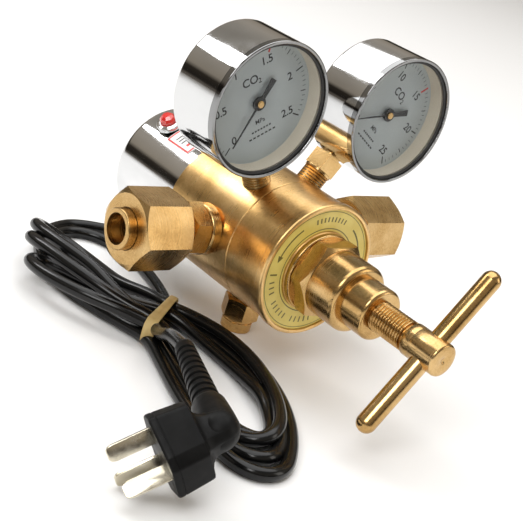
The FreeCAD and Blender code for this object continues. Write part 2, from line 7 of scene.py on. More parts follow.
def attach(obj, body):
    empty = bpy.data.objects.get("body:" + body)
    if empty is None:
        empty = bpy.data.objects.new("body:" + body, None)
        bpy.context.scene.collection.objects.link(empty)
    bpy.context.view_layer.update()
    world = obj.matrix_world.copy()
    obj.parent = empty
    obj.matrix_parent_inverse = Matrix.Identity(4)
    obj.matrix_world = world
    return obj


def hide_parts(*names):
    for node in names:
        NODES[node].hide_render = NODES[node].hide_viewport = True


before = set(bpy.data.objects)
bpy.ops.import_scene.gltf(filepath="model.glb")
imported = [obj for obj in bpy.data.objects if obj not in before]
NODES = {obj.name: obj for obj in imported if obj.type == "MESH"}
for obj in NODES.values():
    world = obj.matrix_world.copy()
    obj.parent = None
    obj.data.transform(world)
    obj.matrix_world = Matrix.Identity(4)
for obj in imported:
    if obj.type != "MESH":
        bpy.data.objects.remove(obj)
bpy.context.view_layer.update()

MM = 0.001
INLET_FACE = 74.0         # main axis to the part's origin
CORD_R = 3.0
GAUGE_REACH = 78.5
GAUGE_TURN = 31.0
FLOOR = -50.0
DIAL_START = -140         # degrees, where the dial's scale starts
DIAL_SWEEP = 260
DIAL_FACE = 18.03         # print's height in the gauge
DIAL_STEP = 18.2          # in front of this the dial is its raised wall
TICK_END = 26.2
NUMBER_R = 18.8
RING_R = 25               # middle of the yellow ring
RING_FACE = 43.52
CAN_LABEL_R = 31.38


def row(x, y, z):
    return Vector(((x - INLET_FACE) * MM, y * MM, z * MM))


def placed(origin, right, up):
    """Matrix of a local frame in millimetres, X right, Y up, Z out, at a point about the main axis."""
    right = Vector(right).normalized()
    up = Vector(up).normalized()
    turn = Matrix((right, up, right.cross(up))).transposed().to_4x4()
    turn.translation = Vector(origin) - Vector((INLET_FACE, 0, 0))
    return Matrix.Scale(MM, 4) @ turn


FORWARD = placed((0, 0, 0), (1, 0, 0), (0, 0, 1))


def gauge_frame(side):
    turn = math.radians(GAUGE_TURN * side)
    up = Vector((math.sin(turn), 0, math.cos(turn)))
    return placed(up * GAUGE_REACH, (math.cos(turn), 0, -math.sin(turn)), up)


# ------------------------------------------------------------------ finishes

class Finish:
    """A procedural material. Object coordinates are the row frame, in metres."""

    def __init__(self, name, colour, roughness, **sockets):
        self.material = bpy.data.materials.new(name)
        self.material.use_nodes = True
        self.tree = self.material.node_tree
        self.shader = self.tree.nodes["Principled BSDF"]
        self.set("Base Color", (*colour, 1))
        self.set("Roughness", roughness)
        for socket, value in sockets.items():
            self.set(socket.replace("_", " "), value)
        self.place = self.tree.nodes.new("ShaderNodeTexCoord").outputs["Object"]
        self.normal = None

    def set(self, socket, value):
        if isinstance(value, bpy.types.NodeSocket):
            self.tree.links.new(value, self.shader.inputs[socket])
        else:
            self.shader.inputs[socket].default_value = value

    def node(self, kind, inputs, **settings):
        node = self.tree.nodes.new("ShaderNode" + kind)
        for name, value in settings.items():
            setattr(node, name, value)
        for key, value in inputs.items():
            if isinstance(value, bpy.types.NodeSocket):
                self.tree.links.new(value, node.inputs[key])
            else:
                node.inputs[key].default_value = value
        return node

    def math(self, operation, a, b=0.0, c=0.0):
        return self.node("Math", {0: a, 1: b, 2: c}, operation=operation).outputs[0]

    def vector(self, operation, a, b=(0, 0, 0)):
        return self.node("VectorMath", {0: a, 1: b}, operation=operation)

    def noise(self, scale, stretch=(1, 1, 1), detail=3.0, place=None):
        """Noise from 0 to 1, scale in cells per metre."""
        place = self.vector("MULTIPLY", place or self.place, stretch).outputs[0]
        return self.node("TexNoise", {"Vector": place, "Scale": scale, "Detail": detail}).outputs[0]

    def lines(self, along, scale, detail=3.0):
        """Noise that changes along one length only."""
        node = self.node("TexNoise", {"Scale": 1.0, "Detail": detail}, noise_dimensions="1D")
        self.tree.links.new(self.math("MULTIPLY", along, scale), node.inputs["W"])
        return node.outputs[0]

    def spread(self, value, low, high, start=0.3, end=0.7):
        return self.node("MapRange", {0: value, 1: start, 2: end, 3: low, 4: high}).outputs[0]

    def colours(self, value, *stops):
        node = self.node("ValToRGB", {0: value})
        ramp = node.color_ramp
        while len(ramp.elements) < len(stops):
            ramp.elements.new(0.5)
        for element, (at, colour) in zip(ramp.elements, stops):
            element.position = at
            element.color = (*colour, 1)
        return node.outputs[0]

    def bump(self, height, depth):
        """Adds relief, its depth in metres."""
        inputs = {"Height": height, "Distance": depth, "Strength": 1.0}
        if self.normal:
            inputs["Normal"] = self.normal
        self.normal = self.node("Bump", inputs).outputs[0]
        self.set("Normal", self.normal)

    def about(self, axis, origin):
        """(distance along an axis, distance from it) as sockets."""
        arm = self.vector("SUBTRACT", self.place, tuple(row(*origin))).outputs[0]
        along = self.vector("DOT_PRODUCT", arm, tuple(axis)).outputs["Value"]
        flat = self.node("VectorMath", {0: tuple(axis), "Scale": along}, operation="SCALE").outputs[0]
        away = self.vector("LENGTH", self.vector("SUBTRACT", arm, flat).outputs[0]).outputs["Value"]
        return along, away


def turned_metal(finish, axis, origin, depth=0.000004):
    """Tool rings round an axis, and rings on the faces across it."""
    along, away = finish.about(Vector(axis).normalized(), origin)
    way = finish.math("ADD", along, finish.math("MULTIPLY", away, 1.3))
    finish.bump(finish.lines(way, 5200.0, 2.0), depth)
    return way


def brass(name, axis=None, origin=(0, 0, 0), fine=0.17, dull=0.30, painted_light_tone=1.0):
    finish = Finish(name, (0.66, 0.42, 0.17), 0.2, Metallic=1.0)
    patch = finish.noise(55.0, detail=5.0)
    speck = finish.noise(900.0, detail=2.0)
    mix = finish.math("ADD", finish.math("MULTIPLY", patch, 0.75), finish.math("MULTIPLY", speck, 0.25))
    stops = ((0.30, (0.42, 0.245, 0.085)), (0.46, (0.62, 0.395, 0.155)), (0.62, (0.75, 0.51, 0.235)))
    # painted_light_tone scales every colour stop, giving a lighter or darker copy of one brass for each
    # part: painted light and shade.
    painted_light_stops = [(at, tuple(painted_light_tone * c for c in colour)) for at, colour in stops]
    finish.set("Base Color", finish.colours(mix, *painted_light_stops))
    rough = finish.noise(140.0, detail=4.0)
    if axis:
        way = turned_metal(finish, axis, origin)
        rough = finish.math("ADD", finish.math("MULTIPLY", rough, 0.5),
                            finish.math("MULTIPLY", finish.lines(way, 1500.0), 0.5))
    finish.set("Roughness", finish.spread(rough, fine, dull))
    finish.bump(finish.noise(420.0, detail=2.0), 0.000006)
    return finish


def thread_relief(finish, axis, side, origin, pitch, depth, radii, reach):
    """A screw thread as relief on the faces between two radii and two stations."""
    axis, side = Vector(axis), Vector(side)
    along, away = finish.about(axis, origin)
    arm = finish.vector("SUBTRACT", finish.place, tuple(row(*origin))).outputs[0]
    across = finish.vector("DOT_PRODUCT", arm, tuple(side)).outputs["Value"]
    upward = finish.vector("DOT_PRODUCT", arm, tuple(axis.cross(side))).outputs["Value"]
    angle = finish.math("MULTIPLY", finish.math("ARCTAN2", upward, across), 0.5 / math.pi)
    turns = finish.math("SUBTRACT", finish.math("DIVIDE", along, pitch * MM), angle)
    ridge = finish.math("MULTIPLY", finish.math("PINGPONG", turns, 0.5), 2.0)
    inside = finish.math("MULTIPLY", finish.math("GREATER_THAN", away, radii[0] * MM),
                         finish.math("LESS_THAN", away, radii[1] * MM))
    within = finish.math("MULTIPLY", finish.math("GREATER_THAN", along, reach[0] * MM),
                         finish.math("LESS_THAN", along, reach[1] * MM))
    finish.bump(finish.math("MULTIPLY", ridge, finish.math("MULTIPLY", inside, within)), depth * MM)


def chrome(name, axis=(0, 1, 0), origin=(0, 0, 0), painted_shade=1.0):
    finish = Finish(name, (0.80, 0.81, 0.82), 0.06, Metallic=1.0)
    smear = finish.noise(38.0, (1, 0.4, 1), detail=4.0)
    # painted_shade darkens the chrome's colours so that its reflections come out greyer: painted shade.
    low, high = [tuple(painted_shade * c for c in colour) for colour in ((0.72, 0.73, 0.74), (0.86, 0.87, 0.88))]
    finish.set("Base Color", finish.colours(smear, (0.35, low), (0.6, high)))
    finish.set("Roughness", finish.spread(finish.noise(75.0, detail=5.0), 0.035, 0.11))
    along, away = finish.about(Vector(axis).normalized(), origin)
    finish.bump(finish.lines(finish.math("ADD", along, away), 700.0, 1.0), 0.000003)
    finish.bump(finish.noise(30.0, detail=1.0), 0.00003)
    return finish


def plain(name, colours, rough, grain, depth, **sockets):
    """Moulded, painted or rubbed stock: two colours mixed by noise, with a fine grain."""
    finish = Finish(name, colours[0], rough[0], **sockets)
    finish.set("Base Color", finish.colours(finish.noise(grain * 0.12, detail=4.0), (0.35, colours[0]),
                                            (0.65, colours[1])))
    finish.set("Roughness", finish.spread(finish.noise(grain * 0.3, detail=3.0), *rough))
    finish.bump(finish.noise(grain, detail=2.0), depth)
    return finish


def up_gauge(side):
    turn = math.radians(GAUGE_TURN * side)
    return (math.sin(turn), 0, math.cos(turn))


BAR_LINE = (math.cos(math.radians(54)), 0, math.sin(math.radians(54)))
# The brass copies below are toned part by part: painted light on the barrel and front cap, painted shade on
# the bonnet, screw, handle bar, outlet nut, tailpiece, inlet nut and nipple.
BRASS_BARREL = brass("brass_barrel", (0, 1, 0), fine=0.25, dull=0.38, painted_light_tone=1.14)
BRASS_Y = brass("brass_turned", (0, 1, 0), painted_light_tone=0.9)
BRASS_X = brass("brass_side", (1, 0, 0), fine=0.22, dull=0.34, painted_light_tone=0.8)
BRASS_Z = brass("brass_upright", (0, 0, 1), (0, -6, 0))
BRASS_PLAIN = brass("brass_plain")
BRASS_BAR = brass("brass_bar", BAR_LINE, (0, -116.4, 0), 0.15, 0.27, 0.88)
BRASS_STEM = {side: brass("brass_stem_" + name, up_gauge(side), (0, -7, 0))
              for side, name in ((-1, "low"), (1, "high"))}
for side, stem in BRASS_STEM.items():
    thread_relief(stem, up_gauge(side), (0, 1, 0), (0, -7, 0), 1.4, 0.7, (6.1, 6.7), (31.0, 38.0))
BRASS_INLET = brass("brass_inlet", (1, 0, 0), fine=0.22, dull=0.34, painted_light_tone=0.85)
thread_relief(BRASS_INLET, (1, 0, 0), (0, 1, 0), (0, 0, 0), 1.81, 0.9, (9.9, 10.8), (74, 86.2))
BRASS_OUTLET = brass("brass_outlet", (1, 0, 0))
thread_relief(BRASS_OUTLET, (-1, 0, 0), (0, 1, 0), (0, 0, 0), 1.5, 0.7, (10.5, 11.3), (46.9, 61.2))
# Chrome copies darkened part by part, painted shade: a little on the can and more on the gauge cases.
CHROME = chrome("chrome_polished", painted_shade=0.88)
CHROME_GAUGE = {side: chrome("chrome_" + name, (0, 1, 0), tuple(Vector(up_gauge(side)) * GAUGE_REACH), 0.78)
                for side, name in ((-1, "low"), (1, "high"))}

# The bezel chrome is cut to a third of its colour: painted shade on the rim round the window.
CHROME_BEZEL = chrome("chrome_bezel", painted_shade=0.33)
LABEL = plain("label_yellow", ((0.76, 0.60, 0.13), (0.84, 0.70, 0.20)), (0.34, 0.48), 900.0, 0.000008)
CAN_LABEL = plain("label_white", ((0.80, 0.80, 0.78), (0.86, 0.86, 0.85)), (0.35, 0.5), 1200.0, 0.000006)
INK_DARK = plain("ink_olive", ((0.13, 0.11, 0.02), (0.19, 0.16, 0.04)), (0.4, 0.55), 2000.0, 0.000002)
INK_BLACK = plain("ink_black", ((0.012, 0.012, 0.014), (0.03, 0.03, 0.034)), (0.4, 0.55), 2000.0, 0.000002)
INK_RED = plain("ink_red", ((0.62, 0.03, 0.03), (0.74, 0.06, 0.05)), (0.35, 0.5), 2000.0, 0.000002)
# The dial's pale enamel is set to a darker grey-blue: its own colour with painted shade from the bezel and
# window mixed in.
DIAL = plain("dial_enamel", ((0.50, 0.56, 0.585), (0.54, 0.60, 0.62)), (0.42, 0.55), 500.0, 0.000006)
STEEL = plain("steel_spring", ((0.45, 0.45, 0.46), (0.60, 0.60, 0.61)), (0.25, 0.4), 700.0, 0.000006,
              Metallic=1.0)
SINTER = plain("sintered_bronze", ((0.40, 0.24, 0.12), (0.58, 0.38, 0.20)), (0.5, 0.7), 2600.0, 0.00008,
               Metallic=0.9)
CERAMIC = plain("heater_wound", ((0.62, 0.58, 0.50), (0.74, 0.70, 0.62)), (0.6, 0.8), 900.0, 0.00005)
SEAL = plain("seal_black", ((0.015, 0.015, 0.015), (0.03, 0.03, 0.03)), (0.5, 0.7), 900.0, 0.00002)
FIBRE = plain("seal_red_fibre", ((0.32, 0.07, 0.04), (0.42, 0.11, 0.06)), (0.6, 0.8), 1500.0, 0.00003)
PLASTIC = plain("plastic_black", ((0.003, 0.003, 0.003), (0.006, 0.006, 0.006)), (0.38, 0.5), 1300.0,
                0.000010, Specular_IOR_Level=0.13)
CORD = plain("cord_sheath", ((0.003, 0.003, 0.003), (0.006, 0.006, 0.006)), (0.16, 0.24), 160.0, 0.000003,
             Specular_IOR_Level=0.36)
BAND = plain("band_rubber", ((0.55, 0.36, 0.13), (0.66, 0.46, 0.19)), (0.5, 0.66), 1400.0, 0.00003,
             Subsurface_Weight=0.12)
PINS = plain("pin_nickel", ((0.66, 0.60, 0.46), (0.80, 0.75, 0.62)), (0.16, 0.30), 800.0, 0.000008,
             Metallic=1.0)
NEEDLE = plain("needle_enamel", ((0.010, 0.010, 0.012), (0.02, 0.02, 0.024)), (0.28, 0.4), 1500.0, 0.000003)
LAMP = plain("lamp_red", ((0.60, 0.02, 0.02), (0.75, 0.05, 0.04)), (0.06, 0.14), 300.0, 0.00001,
             Coat_Weight=0.6, Specular_IOR_Level=0.7)
along = DIAL.math("MULTIPLY", DIAL.node("SeparateXYZ", {0: DIAL.place}).outputs["Y"], -1.0)
wall = DIAL.math("GREATER_THAN", along, DIAL_STEP * MM)
cream = DIAL.colours(DIAL.noise(60.0), (0.3, (0.70, 0.64, 0.52)), (0.7, (0.78, 0.72, 0.60)))
face = DIAL.shader.inputs["Base Color"].links[0].from_socket
DIAL.set("Base Color", DIAL.node("Mix", {0: wall, 6: face, 7: cream}, data_type="RGBA").outputs[2])
GLASS = Finish("window_glass", (0.05, 0.06, 0.06), 0.03, Alpha=0.10, IOR=1.5)
GLASS.set("Roughness", GLASS.spread(GLASS.noise(60.0, detail=4.0), 0.01, 0.05))
GLASS.bump(GLASS.noise(25.0, detail=1.0), 0.00002)

BY_SLOT = {"brass": BRASS_PLAIN, "chrome": CHROME, "label": LABEL, "can_label": CAN_LABEL,
           "spring_steel": STEEL, "seal_rubber": SEAL, "seal_fibre": FIBRE, "sintered": SINTER,
           "heater_ceramic": CERAMIC, "lamp_red": LAMP, "black_plastic": PLASTIC, "cord_black": CORD,
           "band_tan": BAND, "pin_metal": PINS, "glass": GLASS, "dial_white": DIAL,
           "needle_black": NEEDLE}
BY_NODE = {"body": BRASS_BARREL, "front_cap": BRASS_BARREL, "bonnet": BRASS_Y, "adjusting_screw": BRASS_Y,
           "handle_bar": BRASS_BAR, "outlet_nut": BRASS_X, "outlet_tailpiece": BRASS_X,
           "outlet_fitting": BRASS_OUTLET, "inlet_nut": BRASS_INLET, "inlet_nipple": BRASS_X,
           "relief_body": BRASS_Z, "relief_cap": BRASS_Z}
for side, name in ((-1, "low_gauge_"), (1, "high_gauge_")):
    BY_NODE[name + "stem"] = BRASS_STEM[side]
    BY_NODE[name + "case"] = CHROME_GAUGE[side]
    BY_NODE[name + "bezel"] = CHROME_BEZEL
for name, node in NODES.items():
    for used in node.material_slots:
        used.material = BY_NODE.get(name, BY_SLOT[used.material.name]).material


# -------------------------------------------------------------------- pieces

def piece(name, mesh, finish, body, sharp=35.0):
    shown = bpy.data.objects.new(name, mesh)
    bpy.context.scene.collection.objects.link(shown)
    mesh.materials.append(finish.material)
    mesh.polygons.foreach_set("use_smooth", [True] * len(mesh.polygons))
    mesh.set_sharp_from_angle(angle=math.radians(sharp))
    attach(shown, body)
    return shown


def to_mesh(name, bm, matrix=None):
    bmesh.ops.recalc_face_normals(bm, faces=bm.faces)
    mesh = bpy.data.meshes.new(name)
    bm.to_mesh(mesh)
    bm.free()
    if matrix:
        mesh.transform(matrix)
    return mesh


def ring_skin(bm, rings, closed=False):
    """Faces between rings of points. A ring of one point closes the end."""
    made = [[bm.verts.new(p) for p in ring] for ring in rings]
    pairs = list(zip(made, made[1:] + made[:1])) if closed else list(zip(made, made[1:]))
    for a, b in pairs:
        count = max(len(a), len(b))
        for i in range(count):
            j = (i + 1) % count
            corners = []
            for ring, k in ((a, i), (a, j), (b, j), (b, i)):
                point = ring[k % len(ring)]
                if point not in corners:
                    corners.append(point)
            if len(corners) > 2:
                bm.faces.new(corners)


def circle(radius, station, steps):
    if radius <= 0:
        return [(0, 0, station)]
    angles = [2 * math.pi * i / steps for i in range(steps)]
    return [(radius * math.cos(a), radius * math.sin(a), station) for a in angles]


def lathe(name, outline, matrix, steps=96, closed=False):
    bm = bmesh.new()
    ring_skin(bm, [circle(r, s, steps) for r, s in outline], closed)
    return to_mesh(name, bm, matrix)


def threaded(name, before, thread, after, matrix, steps=96):
    """A turned rod whose middle is a real screw thread: (radius, start, end, pitch, depth)."""
    radius, start, end, pitch, depth = thread
    rings = [circle(r, s, steps) for r, s in before]
    rows = int((end - start) / pitch * 10)
    for k in range(rows + 1):
        station = start + (end - start) * k / rows
        fade = min(1.0, 2 * (station - start) / pitch, 2 * (end - station) / pitch)
        ring = []
        for i in range(steps):
            angle = 2 * math.pi * i / steps
            phase = (station / pitch - i / steps) % 1.0
            groove = min(1.0, max(0.0, 1.25 - abs(2 * phase - 1) * 1.5))
            here = radius - depth * fade * groove
            ring.append((here * math.cos(angle), here * math.sin(angle), station))
        rings.append(ring)
    rings += [circle(r, s, steps) for r, s in after]
    bm = bmesh.new()
    ring_skin(bm, rings)
    return to_mesh(name, bm, matrix)


# Cord: the lead from the gland, the round loops behind, and the front loops and rear folds
# of the tied hank, each row of points one pass of the band
CORD_ROUTE = [
    (10, 99.5, -15), (12, 119, -16), (28, 134, -24), (50, 131, -36), (64, 110, -44), (55, 87, -47),
    (31, 79, -47), (7, 86, -47), (-11, 97, -47), (-27, 103.5, -47),
    (-41, 100, -47), (-55, 90, -47), (-65, 74, -47), (-71.5, 56, -47), (-73, 38, -47), (-69.5, 20, -47),
    (-64, 0, -46.5),
    (-59.5, -15.5, -46), (-64.5, -32, -47), (-71.5, -52, -47), (-77.5, -72, -47), (-81.5, -92, -47),
    (-82, -109, -47), (-75, -119, -47), (-63, -118.5, -47), (-50, -107, -47), (-37, -91, -47),
    (-27, -73, -47), (-20, -53, -47), (-18, -34, -47), (-22, -15, -47),
    (-34.5, 3.5, -46), (-26, 18, -47), (-20, 36, -47), (-16, 55, -47), (-16, 74, -47), (-22, 89, -47),
    (-33, 95, -47), (-45, 92, -47), (-55, 81, -47), (-63, 65, -47), (-66, 47, -47), (-64, 29, -47),
    (-60, 10, -46.5),
    (-54.5, -11.5, -46), (-59, -31, -47), (-65.5, -50.5, -47), (-71.5, -70, -47), (-75.5, -88, -47),
    (-75.5, -102, -47), (-69, -111, -46), (-58, -108, -46), (-46.5, -96, -46.5), (-36, -80, -47),
    (-29, -63, -47), (-25.5, -46, -47), (-25, -29, -47), (-28.5, -13, -46.5),
    (-39.5, -0.5, -46), (-43, 10, -46), (-51.5, 20, -45.5), (-51, 40, -47), (-53.5, 58.5, -47),
    (-63.5, 68, -42.5), (-75, 68, -36.5), (-82, 58.5, -32), (-78.5, 38, -32.5), (-71.5, 18, -35),
    (-63, 3, -38.5),
    (-52, -9.5, -41), (-54.5, -29, -43.5), (-60, -48, -46), (-66, -67, -47), (-70, -84, -47),
    (-69.5, -96, -46), (-62, -103, -43), (-52, -99, -41), (-41.5, -86, -41), (-33, -70, -41),
    (-27.5, -54, -41), (-25, -38, -41), (-26, -22, -41), (-31, -8, -41),
    (-37, 1.5, -41), (-36, 16, -43), (-43, 34, -45.5), (-42, 54, -47), (-43.5, 72.5, -47),
    (-52, 82, -42.5), (-63.5, 82, -36.5), (-72, 72.5, -32), (-69.5, 52, -32.5), (-62.5, 32, -35),
    (-61, 18, -38), (-56, 4, -42),
    (-49.5, -8, -46), (-50, -27, -47), (-54, -46, -47), (-60, -65, -47), (-64.5, -80, -47),
    (-66, -90.5, -46.5), (-60.5, -98, -46.5), (-51.5, -95, -46.5), (-43.5, -84, -46), (-39, -73, -43.5),
    (-35, -57, -45.5), (-33, -41, -46.5), (-33.5, -25, -46), (-37, -11, -43),
    (-42, -2.5, -41), (-50, 9, -42.5), (-59, 24, -43.5), (-66, 36, -43), (-69, 45, -43),
    (-75, 51.5, -42), (-83.5, 51, -39.5), (-90, 43.5, -37), (-89, 27, -36.5), (-81, 9, -36.5),
    (-70.5, -3, -37.5), (-62.5, -10, -39.5),
    (-57.5, -15, -41), (-60.5, -23, -39.5), (-65, -32, -35), (-71, -43, -28.5), (-79, -60.5, -24)]


def make_cord():
    curve = bpy.data.curves.new("cord", "CURVE")
    curve.dimensions = "3D"
    line = curve.splines.new("NURBS")
    line.points.add(len(CORD_ROUTE) - 1)
    for point, place in zip(line.points, CORD_ROUTE):
        point.co = (*row(*place), 1)
    line.order_u = 3
    line.use_endpoint_u = True
    line.resolution_u = 10
    curve.bevel_depth = CORD_R * MM
    curve.bevel_resolution = 6
    curve.use_fill_caps = True
    curve.materials.append(CORD.material)
    cord = bpy.data.objects.new("mains_cord", curve)
    bpy.context.scene.collection.objects.link(cord)
    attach(cord, "regulator")
    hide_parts("cord_lead", "cord_hank")
    return cord


# Plug: tilted on its lower corner and one pin; X across, Y up its face, Z out along the pins
PLUG_FACE = Vector((-125.6, -114.7, -33.2))
PLUG_OUT = Vector((-0.841, 0.200, -0.503)).normalized()
PLUG_UP = Vector((-0.360, 0.488, 0.794)).normalized()
PLUG_TURN = Matrix((PLUG_UP.cross(PLUG_OUT), PLUG_UP, PLUG_OUT)).transposed().to_4x4()
PLUG_TURN.translation = PLUG_FACE
PLUG_HALF = ((4, 15.5), (12, 2), (13, -3), (6, -15))
NECK_REACH = 22.5         # face to the middle of the elbow
NECK_R = 7.9
SLEEVE_R = 7.86
SLEEVE_STEPS = 32         # facets in half a turn
RIBS, RIB_START, RIB_PITCH = 9, 19.8, 4.7
PIN_THICK = 1.6
RELIEF_TIP = Vector((-79, -60.5, -24))
TO_ROW = Matrix.Scale(MM, 4) @ Matrix.Translation((-INLET_FACE, 0, 0))


def soft_outline(points, radius, steps=6):
    """A closed outline with its corners rounded off."""
    made = []
    for i, corner in enumerate(points):
        here = Vector(corner)
        back = (Vector(points[i - 1]) - here).normalized()
        ahead = (Vector(points[(i + 1) % len(points)]) - here).normalized()
        reach = radius / math.tan(back.angle(ahead) / 2)
        for k in range(steps + 1):
            t = k / steps
            made.append((here + back * reach).lerp(here, t).lerp(here.lerp(here + ahead * reach, t), t))
    return made


def make_plug():
    """Side-entry plug: moulded block, round elbow, and a strain relief ribbed near its tip."""
    outline = soft_outline(list(PLUG_HALF) + [(-x, y) for x, y in reversed(PLUG_HALF)], 2.4)
    rings = [[Vector((0, 0, 0))]]
    block = [(0.0, 0.955, 0), (-0.3, 0.985, 0), (-1.0, 1.0, 0), (-2.6, 0.995, 0), (-2.75, 0.98, 0),
             (-3.05, 0.98, 0), (-3.2, 0.992, 0), (-13.6, 0.94, 0), (-14.6, 0.92, 0), (-15.0, 0.88, 0.05),
             (-15.4, 0.80, 0.3), (-16.4, 0.74, 0.7), (-18, 0.72, 1), (-20, 0.7, 1), (-NECK_REACH, 0.7, 1)]
    for station, size, roundness in block:
        ring = []
        for point in outline:
            flat = Vector(point) * size
            round_off = Vector(point).normalized() * max(NECK_R, NECK_R + 0.25 * (station + 20))
            mixed = flat.lerp(round_off, roundness)
            ring.append(Vector((mixed.x, mixed.y, station)))
        rings.append(ring)
    for k in range(1, 8):
        lean = math.radians(90 * k / 8)
        rings.append([Vector((*(Vector(p).normalized() * NECK_R * math.cos(lean)),
                              -NECK_REACH - NECK_R * math.sin(lean))) for p in outline])
    rings.append([Vector((0, 0, -NECK_REACH - NECK_R))])
    bm = bmesh.new()
    ring_skin(bm, [[PLUG_TURN @ p for p in ring] for ring in rings])
    neck = PLUG_FACE - PLUG_OUT * NECK_REACH
    run = RELIEF_TIP - neck
    length = run.length
    along = run.normalized()
    side = along.cross(Vector((0, 0, 1))).normalized()
    over = side.cross(along)
    sleeve = [(-SLEEVE_R, 0)]
    sleeve += [(-SLEEVE_R * math.cos(math.radians(a)), SLEEVE_R * math.sin(math.radians(a)))
               for a in (15, 30, 45, 60, 75, 90)]
    sleeve += [(6, 7.6), (12, 7.15), (16.2, 6.75), (17, 6.5), (17.6, 5.85), (18.6, 5.6)]
    for k in range(RIBS):
        start = RIB_START + RIB_PITCH * k
        ridge = 5.5 - 0.033 * (start - RIB_START)
        sleeve += [(start, ridge), (start + 0.35, ridge - 0.8), (start + 1.9, ridge - 0.85),
                   (start + 2.25, ridge - 0.06)]
    sleeve += [(length - 1.2, 4.1), (length - 0.3, 4.0), (length, 3.6), (length, 3.05)]
    rings = []
    for station, radius in sleeve:
        centre = neck + along * station
        turns = [t * math.pi / SLEEVE_STEPS for t in range(2 * SLEEVE_STEPS)]
        rings.append([centre] if radius <= 0 else
                     [centre + side * radius * math.cos(t) + over * radius * math.sin(t) for t in turns])
    rings.append([RELIEF_TIP.copy()])
    ring_skin(bm, rings)
    plug = piece("plug_moulding", to_mesh("plug", bm, TO_ROW), PLASTIC, "regulator", 35)
    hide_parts("plug_body")
    return plug


def make_pins():
    """Three flat blades with rounded tips, on the plug's face."""
    bm = bmesh.new()
    outline = [(-3.15, -4), (3.15, -4), (3.15, 14.6), (2.7, 16.2), (1.7, 17), (-1.7, 17), (-2.7, 16.2),
               (-3.15, 14.6)]
    for x, y, lean in ((0, 8.5, 90), (-7.5, -3.6, 60), (7.5, -3.6, -60)):
        blade = bmesh.new()
        loop = [blade.verts.new((px, -PIN_THICK / 2, pz)) for px, pz in outline]
        face = blade.faces.new(loop)
        drawn = bmesh.ops.extrude_face_region(blade, geom=[face])["geom"]
        moved = [v for v in drawn if isinstance(v, bmesh.types.BMVert)]
        bmesh.ops.translate(blade, verts=moved, vec=(0, PIN_THICK, 0))
        edges = [e for e in blade.edges if abs(e.calc_face_angle(0)) > 1.0]
        bmesh.ops.bevel(blade, geom=edges, offset=0.35, segments=3, affect="EDGES", profile=0.5)
        blade.transform(PLUG_TURN @ Matrix.Translation((x, y, 0))
                        @ Matrix.Rotation(math.radians(lean), 4, "Z"))
        mesh = bpy.data.meshes.new("blade")
        blade.to_mesh(mesh)
        blade.free()
        bm.from_mesh(mesh)
        bpy.data.meshes.remove(mesh)
    pins = piece("plug_blades", to_mesh("pins", bm, TO_ROW), PINS, "regulator", 30)
    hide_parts("plug_pins")
    return pins


WAIST = Vector((-47, -6, 0))
WAIST_TURN = math.radians(37)


def make_band():
    """Two turns of a flat rubber band round the hank, slanting across each other."""
    along = Vector((math.cos(WAIST_TURN), math.sin(WAIST_TURN), 0))
    across = Vector((-along.y, along.x, 0))
    up = Vector((0, 0, 1))
    half, low, high, corner = 18.95, -49.25, -37.0, 4.6
    path = []
    for cx, cz, first in ((half - corner, high - corner, 0), (corner - half, high - corner, 90),
                          (corner - half, low + corner, 180), (half - corner, low + corner, 270)):
        for k in range(9):
            angle = math.radians(first + k * 11.25)
            path.append((cx + corner * math.cos(angle), cz + corner * math.sin(angle),
                         math.cos(angle), math.sin(angle)))
    bm = bmesh.new()
    for shift, slant, grow in ((-0.8, 0.5, 0.0), (0.8, -0.5, 0.14)):
        rings = []
        for x, z, nx, nz in path:
            out = along * nx + up * nz
            middle = WAIST + along * x + up * z + across * (shift + slant * x / half) + out * grow
            ring = []
            for px, pz in ((-1.5, -0.3), (-1.1, -0.45), (1.1, -0.45), (1.5, -0.3), (1.5, 0.2),
                           (1.1, 0.42), (-1.1, 0.42), (-1.5, 0.2)):
                ring.append(middle + across * px + out * pz)
            rings.append(ring)
        ring_skin(bm, rings, closed=True)
    mesh = to_mesh("band", bm, TO_ROW)
    band = piece("band_turns", mesh, BAND, "regulator", 60)
    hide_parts("rubber_band")
    return band


def make_gland():
    """Ribbed strain relief where the lead leaves the can."""
    outline = [(3.02, -3.8), (5.4, -3.8), (5.4, 0.05), (7.1, 0.05), (7.5, 0.4), (7.5, 1.9), (7.1, 2.4),
               (5.6, 2.5), (5.5, 4.0)]
    for k in range(5):
        start = 4.6 + 3.1 * k
        ridge = 5.45 - 0.075 * (start - 4.6)
        outline += [(ridge - 0.7, start), (ridge - 0.7, start + 0.9), (ridge, start + 1.2),
                    (ridge - 0.12, start + 2.8)]
    outline += [(4.05, 20.6), (4.0, 21.6), (3.6, 22.0), (3.02, 22.0)]
    matrix = placed((10, 77.5, -15), (-1, 0, 0), (0, 0, 1))
    gland = piece("gland_sleeve", lathe("gland", outline, matrix, 64, closed=True), PLASTIC, "regulator")
    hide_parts("cord_gland")


def make_screw():
    """Adjusting screw with its M14 thread cut, and the turned head that holds the bar."""
    before = [(0, 70.1), (3.5, 70.1), (5.6, 72.0)]
    after = [(6.0, 104.6), (6.0, 105.9), (7.0, 106.0), (7.5, 106.5), (7.5, 110.2), (7.42, 110.4),
             (7.5, 110.6), (7.5, 123.6), (7.2, 124.3), (6.5, 124.6), (1.6, 124.6), (0.9, 124.2), (0, 123.8)]
    mesh = threaded("screw", before, (6.98, 72.6, 104.4, 1.5, 0.85), after, FORWARD)
    screw = piece("screw_threaded", mesh, BRASS_Y, "screw", 50)
    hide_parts("adjusting_screw")


